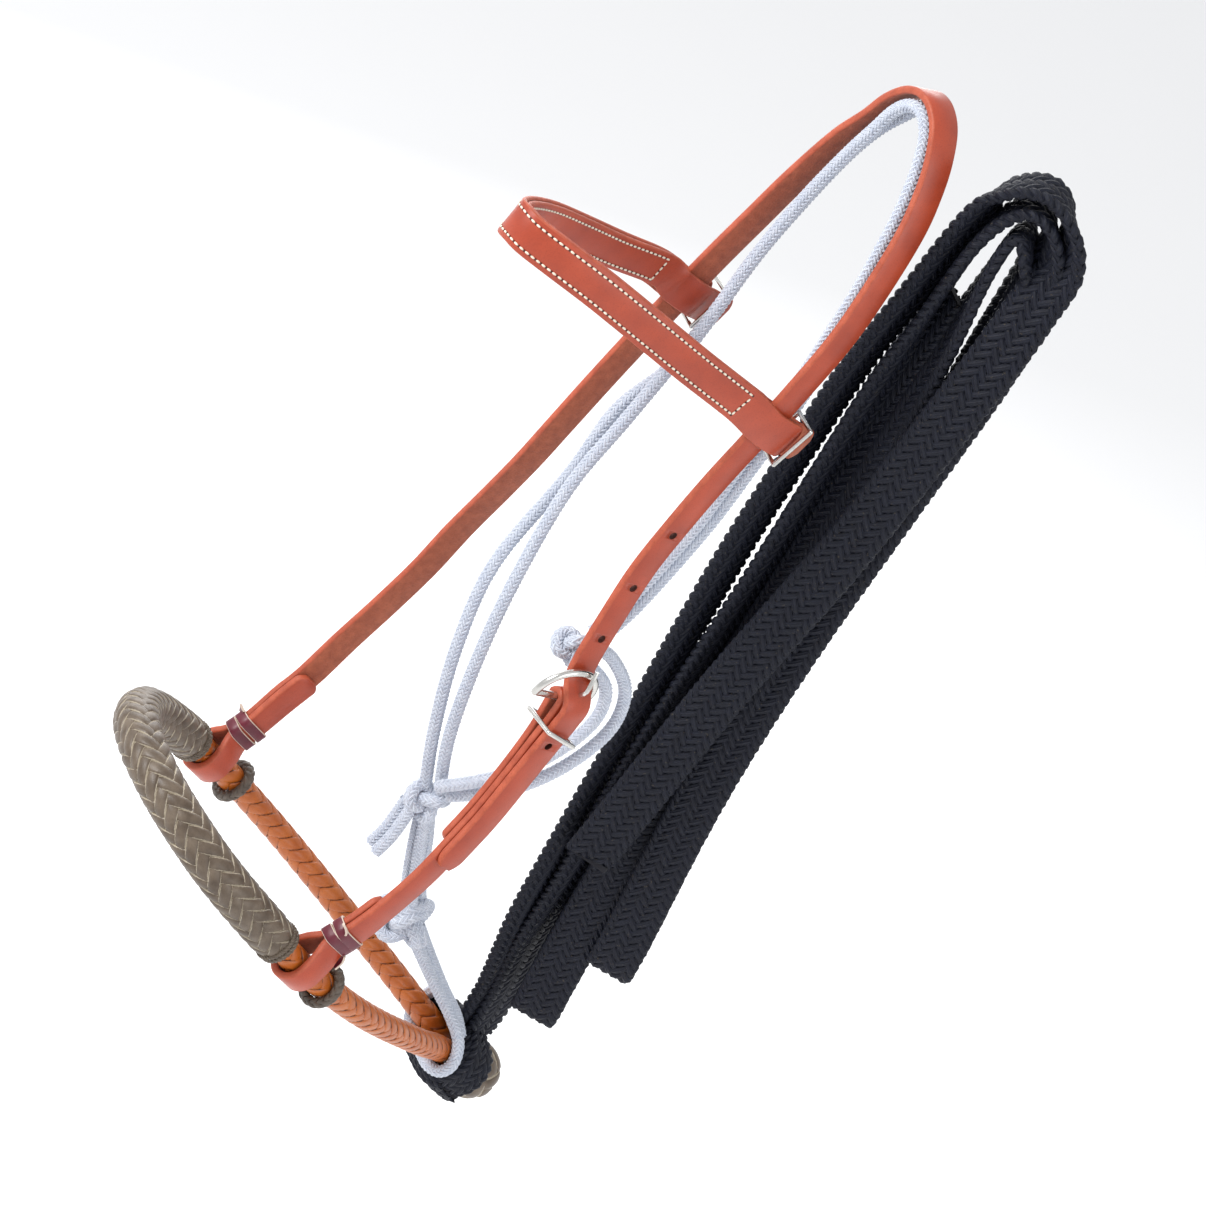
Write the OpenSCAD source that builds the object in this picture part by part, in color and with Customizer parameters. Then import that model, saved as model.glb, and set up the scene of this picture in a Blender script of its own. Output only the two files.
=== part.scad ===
// Bosal hackamore set: leather headstall with browband, braided bosal, fiador rope and
// flat braided reins. +Z is up and -Y is the horse's front. The origin is the crown's hanging point.

/* [Headstall leather] */
// width of the crown and cheek strap
strap_w = 16; // [14:0.5:17]
// thickness of the crown and cheek leather
strap_t = 4; // [3.4:0.1:4]
// width of the browband
brow_w = 21; // [18:0.5:22]
// thickness of each browband layer
brow_t = 2.6; // [2:0.1:2.8]
// diameter of the adjusting holes
hole_d = 4.4; // [3.5:0.1:5]

/* [Buckle and keeper] */
// diameter of the buckle wire
wire_d = 4; // [3:0.1:4]
// distance between the two legs of the buckle, centre to centre
buckle_w = 34; // [30:1:36]
// diameter of the tongue wire
tongue_d = 2.6; // [2:0.1:2.8]
// diameter of the keeper wire
keeper_d = 2.8; // [2:0.1:3]
// wire diameter of the browband dees
dee_d = 2.4; // [2:0.1:2.6]

/* [Bosal] */
// diameter of the braided shanks
shank_d = 15.4; // [14:0.1:15.6]
// diameter of the nose button
nose_d = 25; // [20:0.5:27]
// diameter of the rawhide core
core_d = 9; // [7:0.5:9.6]
// outside diameter of the side rings
side_ring_d = 27; // [24:0.5:28]
// diameter of the heel knot
heel_d = 36; // [32:0.5:38]

/* [Ropes] */
// diameter of the fiador rope
rope_d = 6.6; // [5:0.1:7]
// width of the flat braided rein
web_w = 27; // [22:0.5:28]
// thickness of the flat braided rein
web_t = 5; // [3:0.5:6]

/* [Hidden] */
$fn = 48;
gap = 0.3;
// where the bosal's nose lies, and how its plane is turned from the level
bosal_at = [2, -243, -464];
bosal_turn = [-36, -1.3, -1.8];
// distances along the bosal from the nose: button ends, cheek loops, side rings, heel parts
button_v = 94;
loop_v = 112;
ring_v = 138;
fiador_v = 321;
wrap_v = 339;
heel_v = 365;
// half outline of the bosal's centre line: distance to the side, distance from the nose
bosal_half = [
    [0, 0], [20, 3.5], [38, 13], [56, 30], [67, 50], [74, 75], [79, 100], [80, 120],
    [77, 150], [69, 185], [57, 220], [43, 255], [29, 288], [17, 312], [11, 330], [9.5, 352]
];
heel_half = bosal_half[len(bosal_half) - 1][0];
// inside radius of the leather loops that hold the bosal
loop_r = shank_d / 2 + 0.9;
// how the straps turn out with their distance to the side, and the height where that fades
strap_yaw = 0.0015;
loop_drop = 530;
yaw_fade = 60;
// offsets of the doubled leather from the strap's middle line
layer_o = strap_t / 2 + gap / 2;
billet_o = layer_o + strap_t + gap;
// route of the near strap below the browband: x, y, z
near_low = [
    [54, -36, -176], [54.5, -45, -206], [55.5, -53, -236], [57, -60, -266], [60.5, -65, -296],
    [65, -69.5, -322], [67.5, -71, -333], [69.8, -72.5, -344], [71.5, -74.5, -355], [73, -77, -366],
    [75.5, -83, -390], [79, -92, -418], [82.5, -102, -440], [85, -111, -460], [87, -123, -481],
    [87.6, -133, -498]
];
// middles of the two cheek loops on the bosal
near_loop = [86.4, -155, -528];
far_loop = [-73.5, -150, -532];
// route of the crown: x, y, z, from the far brow crossing to the near one
crown = [
    [-54, -36, -176], [-53, -27, -146], [-51, -18, -116], [-47, -11, -86], [-40, -4, -54],
    [-32, 0, -34], [-25, 1, -18], [-14, 2, -5], [0, 2, 0], [14, 2, -5], [25, 1, -18],
    [32, 0, -34], [40, -4, -54], [47, -11, -86], [51, -18, -116], [53, -27, -146]
];
// route of the far cheek, from the bosal up: x, y, z
far_low = [
    [-75, -131, -506], [-76, -121, -488], [-76, -112, -472], [-76.5, -101, -446],
    [-75.5, -90, -416], [-74, -81, -386], [-72, -74, -356], [-66.5, -69, -326],
    [-60.5, -65, -296], [-57, -60, -266], [-55.5, -53, -236], [-54.5, -45, -206]
];
// middle of the buckle's bar, and how the buckle is turned
bar_at = [70, -77, -344];
bar_turn = [-10, -11, 5];
// how far the buckle's frame leans out, and where the strap crosses its bar
frame_lean = 21;
strap_on_bar = 4.6;
bar_play = 0.05;
leg_h = 3;
// the keeper's place on the near cheek
keeper_at = [72.4, -75.9, -361.5];
keeper_turn = [-14, -6, 6];
// route of the browband's middle, from the near dee to the far dee: x, y, z
brow = [
    [57.8, -18, -175], [58.4, -36, -168], [57.4, -57, -156], [51, -90, -142], [44, -120, -129],
    [34, -150, -117], [22, -173, -110], [10, -187, -107], [0, -190, -107], [-10, -187, -110],
    [-22, -173, -116], [-34, -150, -125], [-44, -120, -137], [-51, -90, -148],
    [-57.4, -57, -159], [-58.4, -36, -169], [-57.8, -18, -175]
];
// routes of the fiador rope: x, y, z
throat = [
    [8, -74, -468], [3, -84, -430], [-5, -91, -380], [-16, -87, -330], [-26, -64, -275],
    [-34, -51, -236], [-37, -31, -207], [-40, -21, -174], [-42, -13.5, -134], [-39.4, -6.1, -94],
    [-33.3, -1.6, -60], [-26.3, 1.5, -38], [-17, 4, -21], [-10, 4.5, -11.5], [0, 4.5, -7.5],
    [10, 4.5, -11.5], [17, 4, -21], [24, 2.5, -36], [30, 0, -58], [36, -4, -92], [39, -8, -122],
    [40.5, -11, -150], [41.5, -14, -178], [44, -20, -207], [47, -27, -237], [49, -36, -268],
    [51, -46.5, -298], [52, -57, -318.5]
];
throat_back = [
    [15, -68, -468], [12, -79, -430], [7, -84, -380], [-2, -81, -330], [-14, -70, -275],
    [-24, -51, -236], [-31.5, -36, -203], [-34.8, -25.6, -170], [-36.4, -18.2, -130],
    [-33.7, -11.5, -90], [-27.2, -7.1, -56], [-20.7, -5, -34], [-17, -3.5, -21], [-10, -3, -11.5],
    [0, -3, -7.5], [10, -3, -11.5], [17, -3.5, -21], [24, -5, -36], [31, -8, -58],
    [38, -13, -92], [41, -17, -122], [41.5, -19, -150], [41, -22, -178], [44, -28, -207],
    [48, -35, -237], [50, -44, -268], [52, -55.5, -297], [53, -65, -313.5]
];
bight = [
    [22, -68, -462], [34, -60, -448], [47, -46, -427], [51, -29, -404], [51, -18, -379],
    [51, -23, -353], [51, -42, -332], [52, -60, -323]
];
bight_inner = [
    [22, -78, -456], [33, -68, -441], [45, -54, -420], [49, -39, -398], [49, -29, -376],
    [49, -34, -354], [47, -52, -340], [50, -65, -332]
];
tail = [[6, -76, -484], [6, -77, -496], [6, -79, -508], [5, -82, -519]];
lower_knot = [9, -40, -566];
upper_knot = [11, -71, -476];
tie_knot = [54, -72, -325];
// routes of the two rein strands between the heel and the hank: x, y, z
strand_a = [
    [17, 34, -618], [19, 32, -600], [23, 25, -570], [26, 19, -540], [28, 16, -500], [28, 15, -440],
    [28, 15, -380], [28, 14, -320], [28, 14, -260], [29, 16, -200], [31, 18, -140], [35, 23, -90],
    [39, 29, -36]
];
strand_b = [
    [19, 42, -618], [20, 41, -605], [22, 37, -580], [27, 32, -550], [32, 29, -500], [33, 27, -440],
    [35, 27, -380], [37, 28, -320], [38, 30, -260], [39, 31, -200], [40, 32, -140]
];
// the hank's own frame: its hanging point and the turn that faces its broad side out
hank_at = [50, 40, 0];
hank_turn = [0, 0, 49];
hank_depth = 44;
// outline of the hank, seen on its broad side: across, up
hank_outline = [
    [-16, -30], [-10, -12], [4, 0], [20, 0], [33, -14], [40, -36], [42, -62], [40, -124],
    [36, -200], [32, -290], [30, -380], [32, -450], [36, -510], [37, -546], [14, -549],
    [14, -602], [-12, -605], [-14, -560], [-15, -500], [-14, -400], [-13, -300], [-14, -200],
    [-15, -100]
];

function unit(v) = v / norm(v);

function blend_points(a, b, c, d, t) =
    0.5 * (2 * b + (c - a) * t + (2 * a - 5 * b + 4 * c - d) * t * t
        + (3 * b - a - 3 * c + d) * t * t * t);

// A smooth route through every given point, with k steps to each span.
function smooth(p, k) = concat(
    [for (i = [0 : len(p) - 2], j = [0 : k - 1])
        blend_points(p[max(i - 1, 0)], p[i], p[i + 1], p[min(i + 2, len(p) - 1)], j / k)],
    [p[len(p) - 1]]
);

function place_of(p) = [p[0], p[1], p[2]];

function along(p, i) =
    unit(place_of(p[min(i + 1, len(p) - 1)]) - place_of(p[max(i - 1, 0)]));

function square_to(v, t) = unit(v - (v * t) * t);

// The side direction at every point, carried along the route without twist.
function carried(p, start) = [
    for (i = 0, s = square_to(start, along(p, 0));
        i < len(p);
        i = i + 1, s = i < len(p) ? square_to(s, along(p, i)) : s)
        s
];

// A solid that follows a route: each ring is the section, laid on the side and normal axes.
module follow(p, sides, section) {
    n = len(section);
    last = len(p) - 1;
    rings = [
        for (i = [0 : last], c = section)
            let (t = along(p, i), s = sides[i], o = len(p[i]) > 3 ? p[i][3] : 0,
                 narrow = len(p[i]) > 4 ? p[i][4] : 1)
                place_of(p[i]) + c[0] * narrow * s + (c[1] + o) * cross(t, s)
    ];
    walls = [
        for (i = [0 : last - 1], j = [0 : n - 1], half = [0, 1])
            let (a = i * n + j, b = i * n + (j + 1) % n)
                half == 0 ? [a, b + n, b] : [a, a + n, b + n]
    ];
    ends = [
        [for (j = [0 : n - 1]) j],
        [for (j = [0 : n - 1]) last * n + n - 1 - j]
    ];
    polyhedron(rings, concat(walls, ends), convexity = 10);
}

// Section of a strap with its edges taken off.
function strap_section(w, t, edge) = [
    [-w / 2 + edge, -t / 2], [w / 2 - edge, -t / 2], [w / 2, -t / 2 + edge], [w / 2, t / 2 - edge],
    [w / 2 - edge, t / 2], [-w / 2 + edge, t / 2], [-w / 2, t / 2 - edge], [-w / 2, -t / 2 + edge]
];

function round_section(d, n) = [
    for (i = [0 : n - 1]) d / 2 * [cos(360 * i / n), sin(360 * i / n)]
];

// Headstall leather is turned a little to the rear at the sides, and lies square on the bosal.
function turn_out(p) = -strap_yaw * p[0] * min(1, max(0, (p[2] + loop_drop) / yaw_fade));

function strap_sides(p) = [
    for (i = [0 : len(p) - 1]) square_to([turn_out(p[i]), 1, 0], along(p, i))
];

module strap(p, w, t, edge) {
    follow(p, strap_sides(p), strap_section(w, t, edge));
}

module cord(points, d, n, k) {
    p = smooth(points, k);
    follow(p, carried(p, [0.2, 1, 0.1]), round_section(d, n));
}

module on_bosal() {
    translate(bosal_at)
        rotate(bosal_turn)
            children();
}

// The bosal's centre line between two distances from the nose, on one side.
function bosal_route(side, from, to) = [
    for (p = smooth(bosal_half, 3))
        if (p[1] >= from && p[1] <= to)
            [side * p[0], p[1], 0]
];

module bosal_tube(route, d, n) {
    follow(route, [for (i = [0 : len(route) - 1]) [0, 0, 1]], round_section(d, n));
}

// A ring around the bosal at a distance from the nose, square to its centre line.
module at_bosal(side, v) {
    route = bosal_route(1, v - 12, v + 12);
    n = len(route) - 1;
    slope = (route[n][0] - route[0][0]) / (route[n][1] - route[0][1]);
    middle = route[0][0] + slope * (v - route[0][1]);
    translate([side * middle, v, 0])
        rotate([-90, 0, -side * atan(slope)])
            children();
}

module band(r_in, r_out, h) {
    difference() {
        cylinder(h = h, r = r_out, center = true);
        cylinder(h = h + 1, r = r_in, center = true);
    }
}

module cheek_loop(side) {
    on_bosal()
        at_bosal(side, loop_v)
            band(loop_r, loop_r + strap_t * 0.8, strap_w);
}

function with_offset(points, offsets) = [
    for (i = [0 : len(points) - 1]) concat(points[i], [offsets[min(i, len(offsets) - 1)]])
];

// The strap's lower part: from the loop on the bosal up to where the layers meet.
function loop_leg(loop, meet, out) = [
    concat(loop, [out * (loop_r + strap_t * 0.72)]),
    concat(0.67 * loop + 0.33 * meet, [out * (loop_r * 0.62 + 1.9)]),
    concat(0.42 * loop + 0.58 * meet, [out * (layer_o + 0.5)])
];

module strap_hole(p, size) {
    translate(p)
        rotate([0, 90, 0])
            cylinder(h = 24, d = size, center = true);
}

function hole_places() = [[55.8, -54.3, -242], [58.2, -61.7, -276.5], [62.6, -67, -308]];

// Crown, far cheek and near billet are one strap, from the far loop to the billet's tip.
module crown_strap() {
    color([0.72, 0.29, 0.17])
        difference() {
            union() {
                outer = concat(
                    loop_leg(far_loop, far_low[0], 1),
                    with_offset(far_low, [layer_o, layer_o, layer_o, layer_o, 1.2, 0]),
                    with_offset(crown, [0]),
                    with_offset(
                        near_low,
                        [0, 0, 0, 0, 0, 0, 1.4, 9.4, 8.8, 7.6, billet_o, billet_o, billet_o, billet_o]
                    )
                );
                tip = [
                    concat(near_low[12], [billet_o, 1]), [83, -103.5, -443.4, billet_o, 0.96],
                    [83.6, -105.5, -448, billet_o, 0.8], [83.8, -106.3, -450, billet_o, 0.6]
                ];
                strap(
                    concat([for (i = [0 : len(outer) - 5]) outer[i]], tip), strap_w, strap_t, 0.8
                );
                inner = concat(
                    loop_leg(far_loop, far_low[0], -1),
                    [for (i = [0 : 2]) concat(far_low[i], [-layer_o])]
                );
                strap(inner, strap_w, strap_t, 0.8);
                cheek_loop(-1);
            }
            for (p = hole_places())
                strap_hole(p, hole_d);
            strap_hole([73, -77.6, -367.5], hole_d);
            on_buckle()
                translate([8, strap_on_bar, 5.5])
                    cube([20, tongue_d + 1.8, 9], center = true);
        }
}

module on_buckle() {
    translate(bar_at)
        rotate(bar_turn)
            children();
}

// The near cheek piece is folded around the buckle's bar above and the bosal below.
module near_cheek_piece() {
    top = [for (i = [7 : len(near_low) - 1]) near_low[i]];
    n = len(top) - 1;
    color([0.69, 0.27, 0.16])
        difference() {
            union() {
                outer = concat(
                    with_offset(top, [4.4, 3.6, 2.6, layer_o]),
                    [for (i = [2 : -1 : 0]) loop_leg(near_loop, top[n], 1)[i]]
                );
                strap(outer, strap_w, strap_t, 0.8);
                fold = with_offset([for (i = [0 : 5]) top[i]], [-4.4, -3.6, -2.6, -layer_o]);
                strap(fold, strap_w, strap_t, 0.8);
                back = concat(
                    with_offset([for (i = [n - 1 : n]) top[i]], [-layer_o]),
                    [for (i = [2 : -1 : 0]) loop_leg(near_loop, top[n], -1)[i]]
                );
                strap(back, strap_w, strap_t, 0.8);
                cheek_loop(1);
                on_buckle()
                    translate([0, strap_on_bar, 0])
                        rotate([90, 0, 0])
                            cylinder(h = strap_w, r = wire_d / 2 + 0.4 + strap_t, center = true);
            }
            on_buckle()
                rotate([90, 0, 0])
                    cylinder(h = 60, r = wire_d / 2 + 0.4, center = true);
            on_buckle()
                translate([3, strap_on_bar, 3])
                    cube([16, 5.4, 16], center = true);
            strap_hole([73, -77.6, -367.5], hole_d);
        }
}

// A short lace wrapped around both layers of the strap, just above the bosal.
module tie_lace(low, high) {
    past = 0.3 * (high - low);
    color([0.42, 0.1, 0.14])
        difference() {
            strap([low, high], strap_w + 4.4, 2 * strap_t + 5, 1.4);
            strap([low - past, high + past], strap_w + 1, 2 * strap_t + 1.8, 0.6);
        }
}

module near_tie_lace() {
    tie_lace([87.1, -142.1, -510.4], [87.4, -135.6, -501.6]);
}

module far_tie_lace() {
    tie_lace([-74.4, -138.5, -516.3], [-74.9, -132, -507.4]);
}

// Half-round wire frame on a straight bar.
module buckle_frame() {
    r = buckle_w / 2;
    color([0.75, 0.75, 0.77])
        on_buckle() {
            rotate([90, 0, 0])
                cylinder(h = buckle_w, d = wire_d, center = true);
            rotate([0, frame_lean, 0]) {
                for (side = [-1, 1])
                    translate([0, side * r, 0]) {
                        sphere(d = wire_d);
                        cylinder(h = leg_h, d = wire_d);
                    }
                translate([0, 0, leg_h])
                    rotate([90, 0, 90])
                        rotate_extrude(angle = 180)
                            translate([r, 0])
                                circle(d = wire_d);
            }
        }
}

module buckle_tongue() {
    eye_r = wire_d / 2 + bar_play;
    route = [
        [2.6, strap_on_bar, 1.5], [5.4, strap_on_bar, 4.6], [8.6, strap_on_bar, 7.4],
        [10.8, strap_on_bar, 10.5], [11, strap_on_bar, 15], [10.9, strap_on_bar, 19],
        [10.6, strap_on_bar, 22.5]
    ];
    color([0.75, 0.75, 0.77])
        on_buckle()
            difference() {
                union() {
                    translate([0, strap_on_bar, 0])
                        rotate([90, 0, 0])
                            cylinder(h = 3.6, r = eye_r + 2, center = true);
                    p = smooth(route, 2);
                    follow(p, carried(p, [0, 1, 0]), round_section(tongue_d, 12));
                }
                rotate([90, 0, 0])
                    cylinder(h = 40, r = eye_r, center = true);
            }
}

// Closed rectangle of wire: inside width, inside height.
module wire_ring(w, h, d) {
    for (side = [-1, 1]) {
        translate([side * (h + d) / 2, 0, 0])
            rotate([90, 0, 0])
                cylinder(h = w + d, d = d, center = true);
        translate([0, side * (w + d) / 2, 0])
            rotate([0, 90, 0])
                cylinder(h = h + d, d = d, center = true);
        for (end = [-1, 1])
            translate([side * (h + d) / 2, end * (w + d) / 2, 0])
                sphere(d = d);
    }
}

module wire_keeper() {
    color([0.76, 0.76, 0.78])
        translate(keeper_at)
            rotate(keeper_turn)
                translate([2.6, 0, 0])
                    rotate([-12, 0, 0])
                        wire_ring(strap_w + 3, 3 * strap_t + 5.8, keeper_d);
}

// The browband lies flat against the head: its width stands square to its route.
function brow_sides(p) = [
    for (i = [0 : len(p) - 1]) square_to([0, 0.25, 1], along(p, i))
];

function brow_layer(from, to, offset) = [
    for (i = [from : to]) concat(brow[i], [offset])
];

module brow_strap(points, w) {
    p = smooth(points, 3);
    follow(p, brow_sides(p), strap_section(w, brow_t, 0.6));
}

module browband_face() {
    color([0.74, 0.3, 0.17])
        brow_strap(brow_layer(0, len(brow) - 1, 0), brow_w);
}

// The lining passes behind the cheek straps and out through the dees at both ends.
module browband_lining() {
    back = strap_t + brow_t + 2.6;
    touch = brow_t + gap;
    near_end = [
        [58, -5, -180, touch + 2.6], [57.9, -12, -177.5, touch + 2.8],
        [57.8, -20, -174.5, touch + 3.6], [58.2, -28, -171, back], [58.4, -44, -164, back],
        [57.6, -54, -158, touch + 2.4]
    ];
    last = len(near_end) - 1;
    far_end = [
        for (i = [last : -1 : 0])
            [-near_end[i][0], near_end[i][1], near_end[i][2], near_end[i][3]]
    ];
    color([0.7, 0.27, 0.15])
        brow_strap(
            concat(near_end, brow_layer(3, len(brow) - 4, touch), far_end), brow_w - 1
        );
}

// Stitches stand on the face in two rows, each one a short bar of thread.
module browband_stitching() {
    p = smooth(brow_layer(1, len(brow) - 2, -brow_t / 2 - 0.34), 6);
    s = brow_sides(p);
    color([0.93, 0.9, 0.82])
        for (row = [-1, 1], i = [3 : 2 : len(p) - 4])
            follow(
                [for (j = [i, i + 1]) p[j]],
                [for (j = [i, i + 1]) s[j]],
                [for (c = [[-0.35, -0.25], [0.35, -0.25], [0.35, 0.25], [-0.35, 0.25]])
                    [c[0] + row * (brow_w / 2 - 3.6), c[1]]]
            );
}

module browband_dee(side) {
    color([0.76, 0.76, 0.78])
        translate([side * 54.6, -19, -175])
            rotate([66, 0, side * -1])
                wire_ring(brow_w + 1.8, 2 * brow_t + 7.8, dee_d);
}

module near_browband_dee() {
    browband_dee(1);
}

module far_browband_dee() {
    browband_dee(-1);
}

// Plain rawhide rod inside the braid, bent to the bosal's shape.
module bosal_core() {
    half = bosal_route(1, 0, 345);
    n = len(half) - 1;
    whole = concat([for (i = [n : -1 : 1]) [-half[i][0], half[i][1], 0]], half);
    color([0.78, 0.66, 0.46])
        on_bosal()
            bosal_tube(whole, core_d, 12);
}

module shank_braid(side) {
    route = bosal_route(side, button_v + 1, 352);
    inside = concat(
        [route[0] - [0, 5, 0]],
        [for (i = [0 : len(route) - 1]) route[i]],
        [route[len(route) - 1] + [0, 5, 0]]
    );
    color([0.72, 0.4, 0.15])
        on_bosal()
            difference() {
                bosal_tube(route, shank_d, 16);
                bosal_tube(inside, core_d + 0.6, 12);
            }
}

module near_shank_braid() {
    shank_braid(1);
}

module far_shank_braid() {
    shank_braid(-1);
}

// Thick braided button over the nose.
module nose_button() {
    half = bosal_route(1, 0, button_v);
    n = len(half) - 1;
    whole = concat([for (i = [n : -1 : 1]) [-half[i][0], half[i][1], 0]], half);
    inside = concat([whole[0] + [0, 6, 0]], whole, [whole[2 * n] + [0, 6, 0]]);
    color([0.42, 0.36, 0.29])
        on_bosal()
            difference() {
                bosal_tube(whole, nose_d, 16);
                bosal_tube(inside, core_d + 0.6, 12);
            }
}

module side_ring(side) {
    r = shank_d / 2 + 0.2;
    t = (side_ring_d - 2 * r) / 2;
    color([0.4, 0.35, 0.28])
        on_bosal()
            at_bosal(side, ring_v)
                rotate_extrude()
                    translate([r + t / 2, 0])
                        circle(d = t);
}

module near_side_ring() {
    side_ring(1);
}

module far_side_ring() {
    side_ring(-1);
}

module heel_knot() {
    color([0.42, 0.37, 0.3])
        on_bosal()
            translate([0, heel_v, 0])
                rotate([90, 0, 0])
                    rotate_extrude()
                        intersection() {
                            circle(d = heel_d);
                            translate([0, -12])
                                square([heel_d, 24.6]);
                        }
}

module heel_tip() {
    color([0.75, 0.35, 0.16])
        on_bosal()
            translate([0, heel_v + 12, 0])
                rotate([-90, 0, 0])
                    cylinder(h = 5, r1 = heel_d * 0.34, r2 = heel_d * 0.26, $fn = 32);
}

// A rope turn around both shanks, as a ring with straight sides.
module around_shanks(v, r, d, flat) {
    translate([0, v, 0])
        rotate([-90, 0, 0]) {
            for (side = [-1, 1]) {
                translate([side * flat, 0, 0])
                    rotate([0, 0, side > 0 ? -90 : 90])
                        rotate_extrude(angle = 180)
                            translate([r, 0])
                                circle(d = d);
                translate([0, side * r, 0])
                    rotate([0, 90, 0])
                        cylinder(h = 2 * flat, d = d, center = true);
            }
        }
}

module fiador_heel_loop() {
    color([0.86, 0.88, 0.92])
        on_bosal()
            around_shanks(fiador_v, shank_d / 2 + rope_d / 2 + 0.3, rope_d, heel_half + 5);
}

module fiador_lower_knot() {
    color([0.88, 0.9, 0.94])
        translate(lower_knot)
            rotate([-12, 6, 0])
                intersection() {
                    sphere(d = 40);
                    cube([30, 30, 42], center = true);
                }
}

// Doubled rope from the heel loop up into the lower knot, and a short end above it.
module fiador_neck() {
    color([0.86, 0.88, 0.92])
        for (side = [-1, 1])
            translate([side * 3.6, 0, 0]) {
                cord([[14.5, 15, -638], [14, 4, -630], [14, -4, -623], [13, -12, -612], [11, -22, -598], [10, -31, -587]], rope_d, 10, 3);
                cord([[9, -46, -545], [9, -48, -538], [9, -50, -532]], rope_d, 10, 2);
            }
}

module fiador_upper_knot() {
    color([0.88, 0.9, 0.94])
        translate(upper_knot)
            intersection() {
                sphere(d = 26);
                cube([24, 18, 19], center = true);
            }
}

module fiador_tail() {
    color([0.86, 0.88, 0.92])
        for (side = [-1, 1])
            translate([side * 3.6, 0, 0])
                cord(tail, rope_d, 10, 2);
}

module fiador_throat_front() {
    color([0.86, 0.88, 0.92])
        cord(throat, rope_d, 8, 3);
}

module fiador_throat_back() {
    color([0.86, 0.88, 0.92])
        cord(throat_back, rope_d, 8, 3);
}

module fiador_tie_knot() {
    color([0.88, 0.9, 0.94])
        translate(tie_knot)
            sphere(d = 14);
}

module fiador_bight_outer() {
    color([0.86, 0.88, 0.92])
        cord(bight, rope_d, 8, 3);
}

module fiador_bight_inner() {
    color([0.86, 0.88, 0.92])
        cord(bight_inner, rope_d, 8, 3);
}

// Turns of the rein around both shanks, between the fiador and the heel knot.
module rein_heel_wraps() {
    color([0.07, 0.08, 0.12])
        on_bosal()
            for (i = [0 : 2])
                around_shanks(wrap_v - 7 + 7 * i, shank_d / 2 + 4.2, 6.6, heel_half + 3);
}

module flat_rein(points) {
    p = smooth(points, 2);
    follow(p, [for (i = [0 : len(p) - 1]) square_to([0.5, -0.8, 0], along(p, i))],
        strap_section(web_w * 0.8, web_t, 1.6));
}

module rein_strand_front() {
    color([0.07, 0.08, 0.12])
        flat_rein(strand_a);
}

module rein_strand_back() {
    color([0.07, 0.08, 0.12])
        flat_rein(strand_b);
}

// The rein's folded runs, as one closed solid of their outer shape.
module rein_hank() {
    color([0.07, 0.08, 0.12])
        translate(hank_at)
            rotate(hank_turn)
                rotate([90, 0, 0])
                    linear_extrude(hank_depth, center = true)
                        polygon(hank_outline);
}

crown_strap();
near_cheek_piece();
near_tie_lace();
far_tie_lace();
buckle_frame();
buckle_tongue();
wire_keeper();
browband_face();
browband_lining();
browband_stitching();
near_browband_dee();
far_browband_dee();
bosal_core();
near_shank_braid();
far_shank_braid();
nose_button();
near_side_ring();
far_side_ring();
heel_knot();
heel_tip();
fiador_heel_loop();
fiador_lower_knot();
fiador_neck();
fiador_upper_knot();
fiador_tail();
fiador_throat_front();
fiador_throat_back();
fiador_tie_knot();
fiador_bight_outer();
fiador_bight_inner();
rein_heel_wraps();
rein_strand_front();
rein_strand_back();
rein_hank();
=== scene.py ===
import math

import bpy
import numpy as np
from mathutils import Matrix, Vector


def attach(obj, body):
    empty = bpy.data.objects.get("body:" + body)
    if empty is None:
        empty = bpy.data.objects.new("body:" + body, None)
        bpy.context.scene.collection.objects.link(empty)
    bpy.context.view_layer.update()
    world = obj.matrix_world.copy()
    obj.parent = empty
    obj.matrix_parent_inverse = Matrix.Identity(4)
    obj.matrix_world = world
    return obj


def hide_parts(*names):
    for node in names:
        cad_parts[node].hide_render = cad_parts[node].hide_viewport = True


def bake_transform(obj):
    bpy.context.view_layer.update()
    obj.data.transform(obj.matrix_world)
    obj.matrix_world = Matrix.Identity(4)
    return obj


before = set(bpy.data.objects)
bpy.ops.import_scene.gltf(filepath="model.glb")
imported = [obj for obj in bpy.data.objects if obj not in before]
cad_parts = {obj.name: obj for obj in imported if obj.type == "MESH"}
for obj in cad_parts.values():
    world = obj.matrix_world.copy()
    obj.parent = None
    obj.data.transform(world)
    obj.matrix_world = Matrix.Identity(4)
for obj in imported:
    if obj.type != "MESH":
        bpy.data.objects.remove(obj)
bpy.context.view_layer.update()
MM = 0.001

# ---------------------------------------------------------------- camera

AZIMUTH, ELEVATION, ROLL = (math.radians(a) for a in (49, 32, 30))
CAMERA_AT = (1.479, -1.308, 0.887)


def view_axes():
    """Right, up and back of the camera, rolled about its own line of sight."""
    level = Vector((math.cos(AZIMUTH), math.sin(AZIMUTH), 0))
    back = Vector((math.sin(AZIMUTH) * math.cos(ELEVATION),
                   -math.cos(AZIMUTH) * math.cos(ELEVATION), math.sin(ELEVATION)))
    upright = back.cross(level)
    right = math.cos(ROLL) * level + math.sin(ROLL) * upright
    return right, back.cross(right), back


def add_camera():
    data = bpy.data.cameras.new("camera")
    data.lens = 130.75
    data.sensor_width = 36
    data.clip_start = 0.05
    data.clip_end = 30
    camera = bpy.data.objects.new("camera", data)
    bpy.context.scene.collection.objects.link(camera)
    right, up, back = view_axes()
    rows = [[right[i], up[i], back[i], CAMERA_AT[i]] for i in range(3)]
    camera.matrix_world = Matrix(rows + [[0, 0, 0, 1]])
    bpy.context.scene.camera = camera


# ---------------------------------------------------------------- routes, as in the CAD, in mm

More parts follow.
